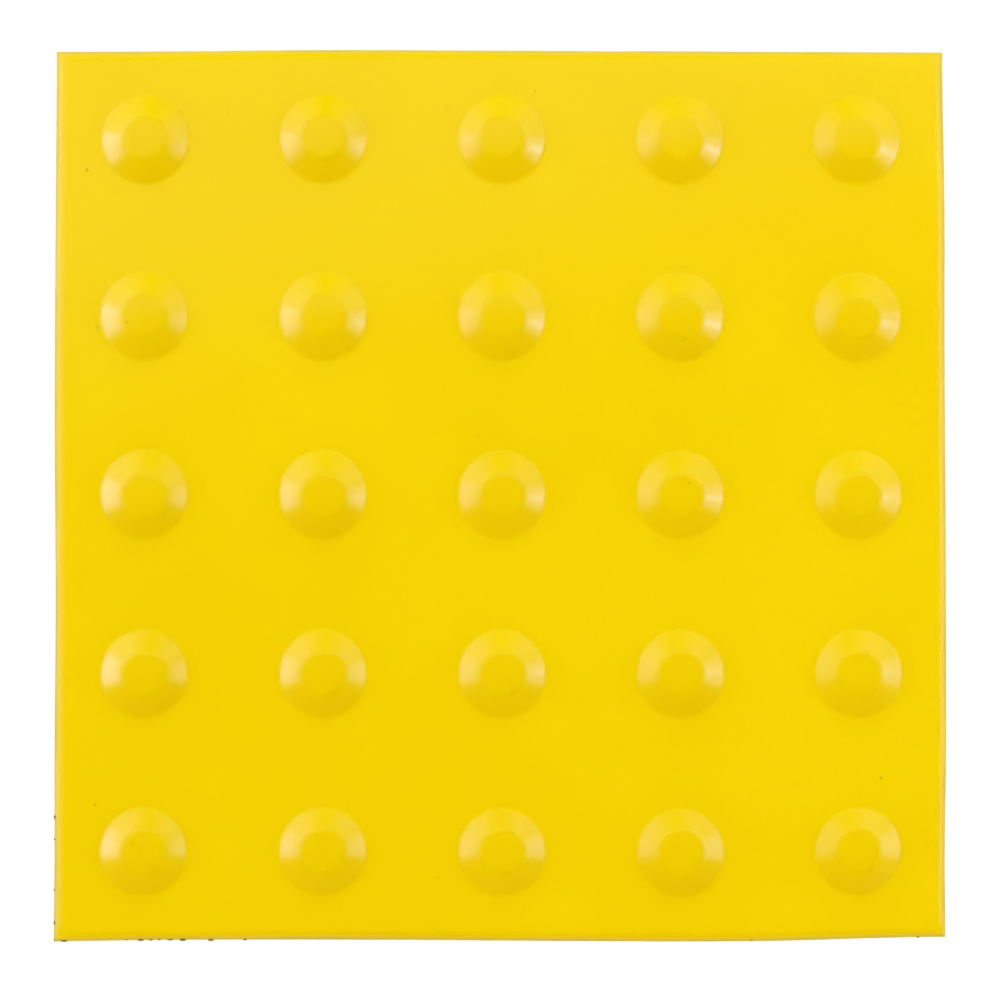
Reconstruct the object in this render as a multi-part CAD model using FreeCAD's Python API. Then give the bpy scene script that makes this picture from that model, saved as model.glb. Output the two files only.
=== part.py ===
import FreeCAD, Part
import os

# Tactile paving slab: one square of moulded yellow rubber, flat underneath, with a square
# field of truncated cones standing on its top face as the warning relief.
# Millimetres. Origin at the centre of the underside, +Z up, X and Y along the sides.

# Plate: thin and square, with upright corners and a round moulded along its top edges
slab_side = 250.0
plate_thickness = 3.0
arris_radius = 2.0
least_edge_land = 0.5  # upright edge that always stays under the round

# Relief: truncated cones on a square grid, centred on the plate
cone_pitch = 50.0
cone_base_diameter = 24.5
cone_top_diameter = 12.2
cone_height = 4.0
cone_crown_radius = 2.0  # round from the flank over to the flat top
least_edge_margin = 5.0  # flat kept between the outer cones and the slab's edge

level_tolerance = 0.001


def edges_at(solid, height):
    """Edges that lie level at one height above the underside."""
    found = []
    for edge in solid.Edges:
        low = abs(edge.BoundBox.ZMin - height) < level_tolerance
        high = abs(edge.BoundBox.ZMax - height) < level_tolerance
        if low and high:
            found.append(edge)
    return found


# The plate, its four top edges rounded over
plate_corner = FreeCAD.Vector(-slab_side / 2.0, -slab_side / 2.0, 0.0)
plate = Part.makeBox(slab_side, slab_side, plate_thickness, plate_corner)
edge_round = min(arris_radius, plate_thickness - least_edge_land)
plate = plate.makeFillet(edge_round, edges_at(plate, plate_thickness))

# One truncated cone of the relief, its crown line rounded, standing on the plate
foot_centre = FreeCAD.Vector(0.0, 0.0, plate_thickness)
cone = Part.makeCone(cone_base_diameter / 2.0, cone_top_diameter / 2.0, cone_height, foot_centre)
cone = cone.makeFillet(cone_crown_radius, edges_at(cone, plate_thickness + cone_height))

# As many cones in a row as the flat takes at this pitch, the rows centred both ways
room_between_outer_cones = slab_side - cone_base_diameter - 2.0 * least_edge_margin
cones_per_row = 1 + int(room_between_outer_cones // cone_pitch)
first_cone = -cone_pitch * (cones_per_row - 1) / 2.0

relief = []
for row in range(cones_per_row):
    for column in range(cones_per_row):
        place = FreeCAD.Vector(first_cone + column * cone_pitch, first_cone + row * cone_pitch, 0.0)
        relief.append(cone.translated(place))

# One moulding: plate and relief fused
slab = plate.multiFuse(relief).removeSplitter()

os.makedirs("parts", exist_ok=True)
slab.Solids[0].exportStep("parts/tactile_slab.step")
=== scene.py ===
from math import hypot, pi, radians, sqrt, tan

import bmesh
import bpy
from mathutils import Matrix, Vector


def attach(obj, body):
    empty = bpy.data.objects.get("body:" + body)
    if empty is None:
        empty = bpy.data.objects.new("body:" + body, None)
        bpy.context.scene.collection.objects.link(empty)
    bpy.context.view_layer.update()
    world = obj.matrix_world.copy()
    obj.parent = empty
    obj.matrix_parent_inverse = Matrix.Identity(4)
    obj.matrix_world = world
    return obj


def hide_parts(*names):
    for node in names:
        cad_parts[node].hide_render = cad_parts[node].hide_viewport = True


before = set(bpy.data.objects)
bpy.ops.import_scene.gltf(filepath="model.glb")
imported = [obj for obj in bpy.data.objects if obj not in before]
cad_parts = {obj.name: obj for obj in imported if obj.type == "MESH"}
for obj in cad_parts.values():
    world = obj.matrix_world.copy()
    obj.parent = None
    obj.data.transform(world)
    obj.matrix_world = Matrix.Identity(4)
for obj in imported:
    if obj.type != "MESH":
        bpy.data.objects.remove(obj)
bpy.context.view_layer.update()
bpy.context.scene.view_settings.view_transform = "Standard"


# Slab: one square of yellow rubber, pressed in a heated mould together with its warning relief.
# Five rows of five truncated cones stand on a thin plate, with every foot and crown rounded
# by the mould. The plate's top edges are rounded too, and its outline is not quite true.
plate_thickness = 0.003
cone_pitch = 0.050
cones_per_row = 5
cone_foot_radius = 0.01225
cone_top_radius = 0.0061
cone_height = 0.004
cone_flank_bulge = 0.0003
cone_crown_round = 0.0033
cone_top_camber = 0.0003  # rise of the top from its rim to its middle
cone_foot_round = 0.0020
cone_facets = 64
flank_slope = 0.5766  # radians, from the plate up to the flank
foot_margin = 0.0014  # level ring of plate kept round the foot, for its round
arris_width = 0.0029
arris_drop = 0.00125
arris_profile = 0.38  # flatter than the quarter round's 0.5
hair = 0.00001  # points this close count as one place
fine_hair = 0.000001


def pick_edges(piece, wanted):
    """Selects the edges whose two ends both pass the test, in edit mode."""
    bpy.ops.mesh.select_mode(type="EDGE")
    bpy.ops.mesh.select_all(action="DESELECT")
    cage = bmesh.from_edit_mesh(piece.data)
    for edge in cage.edges:
        edge.select_set(all(wanted(end.co) for end in edge.verts))
    bmesh.update_edit_mesh(piece.data)


def on_ring(radius, height):
    """Test for points on one level ring about the cone's axis."""
    return lambda point: abs(hypot(point.x, point.y) - radius) < hair and abs(point.z - height) < hair


# One cone on its own square of plate, from the square in to the foot and up the flank to the top
plate_ring_radius = cone_foot_radius + foot_margin
flank_middle_radius = (cone_foot_radius + cone_top_radius) / 2 + cone_flank_bulge
bpy.ops.object.select_all(action="DESELECT")
bpy.ops.mesh.primitive_circle_add(vertices=4, radius=cone_pitch / sqrt(2), rotation=(0, 0, pi / 4))
slab = bpy.context.object
slab.name = slab.data.name = "slab"
bpy.ops.object.transform_apply(location=False, rotation=True, scale=False)
bpy.ops.object.mode_set(mode="EDIT")
bpy.ops.mesh.select_all(action="SELECT")
bpy.ops.mesh.subdivide(number_cuts=cone_facets // 4 - 1)
bpy.ops.mesh.select_all(action="DESELECT")
bpy.ops.mesh.primitive_circle_add(vertices=cone_facets, radius=plate_ring_radius)
bpy.ops.mesh.select_all(action="SELECT")
bpy.ops.mesh.bridge_edge_loops(number_cuts=2, interpolation="LINEAR")
pick_edges(slab, on_ring(plate_ring_radius, 0))
ring_before = plate_ring_radius
flank_height = cone_height - cone_top_camber
for ring_radius, rise in (
        (cone_foot_radius, 0),
        (flank_middle_radius, flank_height / 2),
        (cone_top_radius, flank_height / 2)):
    bpy.ops.mesh.extrude_region_move(TRANSFORM_OT_translate={"value": (0, 0, rise)})
    bpy.ops.transform.resize(value=(ring_radius / ring_before, ring_radius / ring_before, 1))
    ring_before = ring_radius
bpy.ops.mesh.edge_face_add()
for rim_width, share_of_camber in ((0.0012, 0.36), (0.0016, 0.38), (0.0016, 0.26)):
    bpy.ops.mesh.inset(thickness=rim_width)
    bpy.ops.transform.translate(value=(0, 0, cone_top_camber * share_of_camber))
bpy.ops.mesh.poke()

# Crown and foot lines rounded
pick_edges(slab, on_ring(cone_top_radius, flank_height))
bpy.ops.mesh.bevel(offset=cone_crown_round * tan(flank_slope / 2), segments=5, affect="EDGES")
pick_edges(slab, on_ring(cone_foot_radius, 0))
bpy.ops.mesh.bevel(offset=cone_foot_round * tan(flank_slope / 2), segments=4, affect="EDGES")

# The square field of cones, centred and lifted on to the plate's top
bpy.ops.object.mode_set(mode="OBJECT")
for step in ((cone_pitch, 0, 0), (0, cone_pitch, 0)):
    row = slab.modifiers.new("row", "ARRAY")
    row.count = cones_per_row
    row.use_relative_offset = False
    row.use_constant_offset = True
    row.constant_offset_displace = step
    row.use_merge_vertices = True
    row.merge_threshold = hair
    bpy.ops.object.modifier_apply(modifier=row.name)
first_cone = -cone_pitch * (cones_per_row - 1) / 2
bpy.ops.object.mode_set(mode="EDIT")
bpy.ops.mesh.select_all(action="SELECT")
bpy.ops.transform.translate(value=(first_cone, first_cone, plate_thickness))

# The outline drawn in a little here and there, as the rubber shrank out of the mould:
# a place on the edge, how far it is drawn in, and how far round it the pull reaches
half_side = cone_pitch * cones_per_row / 2
for place, pull, reach in (
        ((-half_side, half_side), (0.00035, -0.00085), 0.090),
        ((half_side, half_side), (-0.00070, 0.00000), 0.055),
        ((-half_side, -0.035), (0.00040, 0.00000), 0.060),
        ((-half_side, -0.100), (0.00025, 0.00000), 0.040),
        ((half_side, 0.045), (-0.00020, 0.00000), 0.060),
        ((half_side, -0.100), (-0.00030, 0.00000), 0.035),
        ((-0.085, -half_side), (0.00000, 0.00090), 0.090),
        ((-0.015, -half_side), (0.00000, 0.00045), 0.070),
        ((half_side, -half_side), (-0.00030, 0.00110), 0.060)):
    bpy.ops.mesh.select_mode(type="VERT")
    bpy.ops.mesh.select_all(action="DESELECT")
    cage = bmesh.from_edit_mesh(slab.data)
    nearest = min(cage.verts, key=lambda vert: hypot(vert.co.x - place[0], vert.co.y - place[1]))
    nearest.select_set(True)
    bmesh.update_edit_mesh(slab.data)
    bpy.ops.transform.translate(value=(*pull, 0), use_proportional_edit=True,
                                proportional_edit_falloff="SMOOTH", proportional_size=reach)

# The plate's sides and plain underside
bpy.ops.mesh.select_mode(type="FACE")
bpy.ops.mesh.select_all(action="SELECT")
bpy.ops.mesh.region_to_loop()
bpy.ops.mesh.extrude_region_move(TRANSFORM_OT_translate={"value": (0, 0, -plate_thickness)})
bpy.ops.mesh.edge_face_add()

# Top edges rounded over, meeting in a mitre at each corner, then the round pressed flatter
side_lean = 0.1  # a side that leans less than this counts as upright
bpy.ops.mesh.select_mode(type="EDGE")
bpy.ops.mesh.select_all(action="DESELECT")
cage = bmesh.from_edit_mesh(slab.data)
for edge in cage.edges:
    upright = [face for face in edge.link_faces if abs(face.normal.z) < side_lean]
    level = abs(edge.verts[0].co.z - edge.verts[1].co.z) < fine_hair
    edge.select_set(len(upright) == 1 and level and edge.verts[0].co.z > plate_thickness - hair)
bmesh.update_edit_mesh(slab.data)
bpy.ops.mesh.bevel(offset=arris_width, segments=8, profile=arris_profile, affect="EDGES")
just_under_arris = plate_thickness - 1.01 * arris_width
bpy.ops.mesh.select_mode(type="VERT")
bpy.ops.mesh.select_all(action="DESELECT")
cage = bmesh.from_edit_mesh(slab.data)
for vert in cage.verts:
    vert.select_set(just_under_arris < vert.co.z < plate_thickness - fine_hair)
bmesh.update_edit_mesh(slab.data)
bpy.ops.transform.resize(value=(1, 1, arris_drop / arris_width),
                         center_override=(0, 0, plate_thickness))
bpy.ops.object.mode_set(mode="OBJECT")


# Solid-coloured rubber with a satin skin: faint clouds in the yellow, a skin that is a little
# duller here and there, a few specks pressed in, and dull grime on the sides, with painted shade along
# the arris's outer edge
rubber = bpy.data.materials.new("yellow rubber")
rubber.use_nodes = True
nodes, links = rubber.node_tree.nodes, rubber.node_tree.links
shader = nodes["Principled BSDF"]


def add(kind, **sockets):
    """Adds a shader node to the material in hand, with sockets set by name."""
    made = nodes.new(kind)
    for socket, value in sockets.items():
        made.inputs[socket.replace("_", " ")].default_value = value
    return made


def join(first, second, operation):
    """Joins two masks by one sum."""
    made = add("ShaderNodeMath")
    made.operation = operation
    made.use_clamp = True
    links.new(first, made.inputs[0])
    links.new(second, made.inputs[1])
    return made.outputs["Value"]


def coloured(mask, below, above):
    """Lays one colour over another by a mask; each is a fixed colour or a socket."""
    made = add("ShaderNodeMix")
    made.data_type = "RGBA"
    links.new(mask, made.inputs["Factor"])
    for socket, colour in ((made.inputs[6], below), (made.inputs[7], above)):
        if isinstance(colour, tuple):
            socket.default_value = colour
        else:
            links.new(colour, socket)
    return made.outputs[2]


on_slab = add("ShaderNodeTexCoord").outputs["Object"]

clouds = add("ShaderNodeTexNoise", Scale=16.0, Detail=2.0)
links.new(on_slab, clouds.inputs["Vector"])
cloud_range = add("ShaderNodeMapRange", From_Min=0.35, From_Max=0.65)
links.new(clouds.outputs["Fac"], cloud_range.inputs["Value"])
deep_yellow = (0.860, 0.600, 0.0003, 1)
light_yellow = (0.874, 0.620, 0.0005, 1)
yellow = coloured(cloud_range.outputs["Result"], deep_yellow, light_yellow)

# The cones' tops a touch deeper in colour than the plate
height = add("ShaderNodeSeparateXYZ")
links.new(on_slab, height.inputs["Vector"])
on_top = add("ShaderNodeMapRange", From_Min=0.0061, From_Max=0.0068)
links.new(height.outputs["Z"], on_top.inputs["Value"])
deeper_top_yellow = (0.836, 0.582, 0.0003, 1)
yellow = coloured(on_top.outputs["Result"], yellow, deeper_top_yellow)

speck_group = bpy.data.node_groups.new("pressed-in speck", "ShaderNodeTree")
for socket, kind in (("Surface", "Vector"), ("Place", "Vector"), ("Radius", "Float"), ("Depth", "Float")):
    speck_group.interface.new_socket(name=socket, in_out="INPUT", socket_type="NodeSocket" + kind)
speck_group.interface.new_socket(name="Mask", in_out="OUTPUT", socket_type="NodeSocketFloat")
speck_in = speck_group.nodes.new("NodeGroupInput")
speck_out = speck_group.nodes.new("NodeGroupOutput")
away = speck_group.nodes.new("ShaderNodeVectorMath")
away.operation = "DISTANCE"
speck_group.links.new(speck_in.outputs["Surface"], away.inputs[0])
speck_group.links.new(speck_in.outputs["Place"], away.inputs[1])
fade = speck_group.nodes.new("ShaderNodeMapRange")
fade.interpolation_type = "SMOOTHSTEP"
fade.inputs["From Min"].default_value = 0.0
speck_group.links.new(away.outputs["Value"], fade.inputs["Value"])
speck_group.links.new(speck_in.outputs["Radius"], fade.inputs["From Max"])
speck_group.links.new(speck_in.outputs["Depth"], fade.inputs["To Min"])
fade.inputs["To Max"].default_value = 0.0
speck_group.links.new(fade.outputs["Result"], speck_out.inputs["Mask"])

# Specks seen from above, so their height on the relief does not matter, with ragged borders
ragged_reach = 0.0005
plan = add("ShaderNodeVectorMath")
plan.operation = "MULTIPLY"
links.new(on_slab, plan.inputs[0])
plan.inputs[1].default_value = (1, 1, 0)
ragged = add("ShaderNodeTexNoise", Scale=2200.0, Detail=1.0)
links.new(plan.outputs["Vector"], ragged.inputs["Vector"])
ragged_plan = add("ShaderNodeVectorMath")
ragged_plan.operation = "MULTIPLY_ADD"
links.new(ragged.outputs["Color"], ragged_plan.inputs[0])
ragged_plan.inputs[1].default_value = (ragged_reach, ragged_reach, 0)
links.new(plan.outputs["Vector"], ragged_plan.inputs[2])
specks = None
for x, y, radius, depth in (
        (-0.1160, 0.0908, 0.00060, 0.60),
        (0.0093, 0.1135, 0.00060, 0.26),
        (-0.1045, 0.0480, 0.00070, 0.30),
        (-0.0067, 0.0163, 0.00080, 0.14),
        (0.0522, 0.0034, 0.00070, 0.27),
        (0.0512, 0.0439, 0.00090, 0.16),
        (-0.1134, -0.0864, 0.00060, 0.36),
        (-0.1028, -0.0970, 0.00080, 0.14),
        (0.1064, -0.0793, 0.00060, 0.55),
        (-0.1129, 0.0469, 0.00110, 0.20),
        (-0.0767, 0.1070, 0.00080, 0.10),
        (-0.0543, 0.1042, 0.00100, 0.10),
        (-0.0154, 0.1083, 0.00110, 0.08),
        (0.0515, 0.0641, 0.00080, 0.09),
        (0.1123, 0.0260, 0.00070, 0.10),
        (-0.0178, -0.1068, 0.00060, 0.18)):
    speck = add("ShaderNodeGroup")
    speck.node_tree = speck_group
    links.new(ragged_plan.outputs["Vector"], speck.inputs["Surface"])
    speck.inputs["Place"].default_value = (x + ragged_reach / 2, y + ragged_reach / 2, 0)
    speck.inputs["Radius"].default_value = radius
    speck.inputs["Depth"].default_value = depth
    specks = speck.outputs["Mask"] if specks is None else join(specks, speck.outputs["Mask"], "MAXIMUM")
dirt = (0.130, 0.080, 0.004, 1)
specked = coloured(specks, yellow, dirt)

# Grime on the sides, and painted shade along the steep outer edge of the arris, fading out on to the
# arris and towards the underside
edge_from_above = add("ShaderNodeMapRange", From_Min=0.00265, From_Max=0.00200)
links.new(height.outputs["Z"], edge_from_above.inputs["Value"])
edge_from_below = add("ShaderNodeMapRange", From_Min=0.0000, From_Max=0.0008)
links.new(height.outputs["Z"], edge_from_below.inputs["Value"])
edge = join(edge_from_above.outputs["Result"], edge_from_below.outputs["Result"], "MULTIPLY")
patches = add("ShaderNodeTexNoise", Scale=60.0, Detail=1.0)
links.new(on_slab, patches.inputs["Vector"])
patch_range = add("ShaderNodeMapRange", From_Min=0.3, From_Max=0.7, To_Min=0.35, To_Max=0.60)
links.new(patches.outputs["Fac"], patch_range.inputs["Value"])
grime_and_shade = join(edge, patch_range.outputs["Result"], "MULTIPLY")
# Olive grime on the sides, and painted shade on the arris's steep outer edge
olive_grime_and_shade = (0.420, 0.370, 0.110, 1)
links.new(coloured(grime_and_shade, specked, olive_grime_and_shade), shader.inputs["Base Color"])

dull = add("ShaderNodeTexNoise", Scale=90.0, Detail=3.0)
links.new(on_slab, dull.inputs["Vector"])
satin = add("ShaderNodeMapRange", From_Min=0.3, From_Max=0.7, To_Min=0.22, To_Max=0.26)
links.new(dull.outputs["Fac"], satin.inputs["Value"])
skin_roughness = join(satin.outputs["Result"], grime_and_shade, "ADD")
links.new(skin_roughness, shader.inputs["Roughness"])

# The skin not quite flat: broad shallow waves, and a fine grain
waves = add("ShaderNodeTexNoise", Scale=22.0, Detail=1.0)
links.new(on_slab, waves.inputs["Vector"])
wave_bump = add("ShaderNodeBump", Strength=1.0, Distance=0.0002)
links.new(waves.outputs["Fac"], wave_bump.inputs["Height"])
skin = add("ShaderNodeTexNoise", Scale=650.0, Detail=2.0)
links.new(on_slab, skin.inputs["Vector"])
skin_bump = add("ShaderNodeBump", Strength=0.25, Distance=0.00003)
links.new(skin.outputs["Fac"], skin_bump.inputs["Height"])
links.new(wave_bump.outputs["Normal"], skin_bump.inputs["Normal"])
links.new(skin_bump.outputs["Normal"], shader.inputs["Normal"])
shader.inputs["Specular IOR Level"].default_value = 1.0
slab.data.materials.append(rubber)

# Crumbs of flash left on the mould line under the arris and dark with dirt: a place on the
# edge, then the crumb's half sizes along X and Y and half its height
mould_line = plate_thickness - arris_drop
flash = bpy.data.materials.new("dirty flash")
flash.use_nodes = True
nodes, links = flash.node_tree.nodes, flash.node_tree.links
shader = nodes["Principled BSDF"]
shader.inputs["Roughness"].default_value = 0.8
shader.inputs["Specular IOR Level"].default_value = 0.2
blotches = add("ShaderNodeTexNoise", Scale=900.0, Detail=2.0)
links.new(add("ShaderNodeTexCoord").outputs["Object"], blotches.inputs["Vector"])
blotch_range = add("ShaderNodeMapRange", From_Min=0.35, From_Max=0.65)
links.new(blotches.outputs["Fac"], blotch_range.inputs["Value"])
dark_olive = (0.180, 0.135, 0.020, 1)
light_olive = (0.340, 0.265, 0.045, 1)
flash_colour = coloured(blotch_range.outputs["Result"], dark_olive, light_olive)
links.new(flash_colour, shader.inputs["Base Color"])
slab.data.materials.append(flash)
slab.active_material_index = 1
bpy.ops.object.mode_set(mode="EDIT")
bpy.ops.mesh.select_mode(type="VERT")
for x, y, half_x, half_y, half_height in (
        (-0.12460, -0.0899, 0.00040, 0.00070, 0.00045),
        (-0.12465, -0.0960, 0.00035, 0.00030, 0.00035),
        (-0.12465, -0.1101, 0.00035, 0.00035, 0.00035),
        (-0.12460, -0.1192, 0.00040, 0.00070, 0.00045),
        (-0.12435, -0.1238, 0.00055, 0.00065, 0.00045),
        (-0.12200, -0.1241, 0.00120, 0.00055, 0.00045),
        (-0.10460, -0.1239, 0.00060, 0.00030, 0.00045),
        (-0.10070, -0.1239, 0.00110, 0.00055, 0.00045),
        (-0.09790, -0.1239, 0.00075, 0.00045, 0.00040),
        (-0.09550, -0.1239, 0.00055, 0.00035, 0.00045),
        (-0.09250, -0.1239, 0.00110, 0.00040, 0.00040),
        (-0.08900, -0.1239, 0.00115, 0.00058, 0.00045),
        (-0.08120, -0.1240, 0.00095, 0.00055, 0.00045),
        (-0.07170, -0.1240, 0.00055, 0.00035, 0.00045),
        (0.01330, -0.1242, 0.00060, 0.00040, 0.00040),
        (0.07000, -0.1246, 0.00070, 0.00030, 0.00045),
        (0.11680, -0.1238, 0.00060, 0.00035, 0.00045)):
    bpy.ops.mesh.primitive_ico_sphere_add(subdivisions=2, radius=1, location=(x, y, mould_line),
                                          scale=(half_x, half_y, half_height))
    bpy.ops.object.material_slot_assign()

# Seams merged and faces turned outwards over the whole slab
sharp_angle = radians(35)
bpy.ops.mesh.select_all(action="SELECT")
bpy.ops.mesh.remove_doubles(threshold=2 * fine_hair)
bpy.ops.mesh.normals_make_consistent(inside=False)
bpy.ops.object.mode_set(mode="OBJECT")
bpy.ops.object.shade_smooth_by_angle(angle=sharp_angle)

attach(slab, "root")
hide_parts("tactile_slab")


# Floor: a broad sweep of white studio paper that the slab lies on, level under it and turned
# up far away all round, so that the background stays white from every side.
floor_radius = 5.0
sweep_height = 1.0
sweep_round = 0.8
floor_gap = 0.0001  # keeps the paper just clear of the slab's underside
bpy.ops.object.select_all(action="DESELECT")
bpy.ops.mesh.primitive_circle_add(vertices=96, radius=floor_radius, enter_editmode=True,
                                  location=(0, 0, -floor_gap))
floor = bpy.context.object
floor.name = floor.data.name = "floor"
bpy.ops.mesh.extrude_region_move(TRANSFORM_OT_translate={"value": (0, 0, sweep_height)})
pick_edges(floor, on_ring(floor_radius, 0))
bpy.ops.mesh.edge_face_add()
bpy.ops.mesh.bevel(offset=sweep_round, segments=10, affect="EDGES")
bpy.ops.object.mode_set(mode="OBJECT")
bpy.ops.object.transform_apply(location=True, rotation=False, scale=False)
bpy.ops.object.shade_smooth()

paper = bpy.data.materials.new("white paper")
paper.use_nodes = True
nodes, links = paper.node_tree.nodes, paper.node_tree.links
nodes.remove(nodes["Principled BSDF"])
seen_by = nodes.new("ShaderNodeLightPath")
camera_or_gloss = nodes.new("ShaderNodeMath")
camera_or_gloss.operation = "MAXIMUM"
links.new(seen_by.outputs["Is Camera Ray"], camera_or_gloss.inputs[0])
links.new(seen_by.outputs["Is Glossy Ray"], camera_or_gloss.inputs[1])
looked_at = nodes.new("ShaderNodeMath")
looked_at.operation = "MAXIMUM"
links.new(camera_or_gloss.outputs["Value"], looked_at.inputs[0])
links.new(seen_by.outputs["Is Transmission Ray"], looked_at.inputs[1])
lit_paper = nodes.new("ShaderNodeBsdfDiffuse")
lit_paper.inputs["Color"].default_value = (0.8, 0.8, 0.8, 1)
shadow_paper = nodes.new("ShaderNodeBsdfDiffuse")
shadow_paper.inputs["Color"].default_value = (0.2, 0.2, 0.2, 1)
glow = nodes.new("ShaderNodeEmission")
glow.inputs["Color"].default_value = (1, 1, 1, 1)
glow.inputs["Strength"].default_value = 0.86
white_paper = nodes.new("ShaderNodeAddShader")
links.new(shadow_paper.outputs["BSDF"], white_paper.inputs[0])
links.new(glow.outputs["Emission"], white_paper.inputs[1])
either = nodes.new("ShaderNodeMixShader")
links.new(looked_at.outputs["Value"], either.inputs["Fac"])
links.new(lit_paper.outputs["BSDF"], either.inputs[1])
links.new(white_paper.outputs["Shader"], either.inputs[2])
links.new(either.outputs["Shader"], nodes["Material Output"].inputs["Surface"])
floor.data.materials.append(paper)


# Camera: almost straight above the slab, a little towards its near left corner.
camera_data = bpy.data.cameras.new("camera")
camera_data.angle = radians(14.684)
camera_data.clip_start = 0.05
camera = bpy.data.objects.new("camera", camera_data)
camera.location = (-0.03533, -0.02419, 1.08884)
camera.rotation_euler = (radians(1.204), radians(-1.836), 0)
bpy.context.scene.collection.objects.link(camera)
bpy.context.scene.camera = camera


# Light: cool softboxes low on both sides, a small spot on the back rows, dim reflectors behind
# and dim sheets overhead, that the satin skin mirrors, and broad fills that light the colour.
# Each lamp has its place, width, height, brightness and what it serves.
world = bpy.data.worlds.new("studio")
world.use_nodes = True
world.node_tree.nodes["Background"].inputs["Color"].default_value = (0, 0, 0, 1)
bpy.context.scene.world = world

lamp_colours = {
    "gloss": (0.34, 0.46, 1.0),
    "colour": (1, 1, 1),
    "warm colour": (1, 0.76, 0.6),
    "lemon colour": (0.93, 1, 1)}
watts_per_area = 4  # for each square metre of lamp, at a brightness of 1


def lamp(name, place, width, height, brightness, serves, turn=None, aim=(0, 0, 0), beam=pi):
    """Hangs one softbox that faces its aim, or hangs level overhead where it has a turn in degrees."""
    softbox = bpy.data.lights.new(name, "AREA")
    softbox.shape = "RECTANGLE"
    softbox.size, softbox.size_y = width, height
    softbox.energy = watts_per_area * width * height * brightness
    softbox.color = lamp_colours[serves]
    softbox.spread = beam
    softbox.cycles.use_multiple_importance_sampling = serves == "gloss"
    stand = bpy.data.objects.new(name, softbox)
    stand.location = place
    stand.rotation_euler = (stand.location - Vector(aim)).to_track_quat("Z", "Y").to_euler()
    if turn is not None:
        stand.rotation_euler = (0, 0, radians(turn))
    # A gloss lamp is only mirrored, and a fill only lights the colour
    stand.visible_camera = False
    stand.visible_glossy = serves == "gloss"
    stand.visible_diffuse = serves != "gloss"
    bpy.context.scene.collection.objects.link(stand)


lamp("left softbox low", (-0.75, 0.03, 0.250), 0.50, 0.090, 4.08, "gloss")
lamp("left softbox", (-0.75, 0.00, 0.356), 0.54, 0.113, 1.65, "gloss")
lamp("left softbox high", (-0.75, 0.00, 0.506), 0.54, 0.188, 0.46, "gloss")
lamp("right softbox", (0.75, -0.035, 0.345), 0.47, 0.400, 1.22, "gloss")
lamp("right spot", (0.71, -0.030, 0.335), 0.10, 0.110, 0.18, "gloss",
     aim=(0.06, 0.085, 0), beam=radians(30))
lamp("left sheet high", (-0.65, 0.20, 0.780), 1.00, 0.400, 0.27, "gloss")
lamp("right sheet high", (0.65, 0.20, 0.780), 1.00, 0.400, 0.08, "gloss")
lamp("left reflector", (-0.450, 0.280, 0.260), 0.36, 0.280, 0.265, "gloss")
lamp("left reflector wide", (-0.405, 0.325, 0.265), 0.46, 0.280, 0.204, "gloss")
lamp("left reflector widest", (-0.345, 0.375, 0.270), 0.58, 0.280, 0.194, "gloss")
lamp("right reflector", (0.420, 0.270, 0.270), 0.44, 0.300, 0.165, "gloss")
lamp("right reflector wide", (0.375, 0.315, 0.275), 0.56, 0.300, 0.1, "gloss")
lamp("right reflector widest", (0.320, 0.375, 0.280), 0.70, 0.300, 0.08, "gloss")
lamp("overhead sheet", (-0.017, 0.171, 0.300), 1.00, 0.170, 0.10, "gloss", turn=12)
lamp("overhead sheet further", (-0.020, 0.186, 0.302), 1.00, 0.140, 0.10, "gloss", turn=14)
lamp("overhead sheet behind", (-0.065, 0.396, 0.300), 1.00, 0.300, 0.03, "gloss", turn=12)
lamp("ceiling", (0.00, 0.00, 1.500), 3.00, 6.000, 0.575, "colour")
lamp("back fill", (0.00, 1.30, 0.607), 1.73, 0.722, 2.57, "lemon colour")
lamp("front fill", (0.00, -1.80, 0.640), 2.40, 0.800, 1.66, "warm colour")
lamp("left fill", (-1.60, 0.00, 0.747), 2.13, 0.889, 2.47, "colour")
lamp("right fill", (1.05, 0.00, 0.490), 1.40, 0.583, 2.15, "colour")
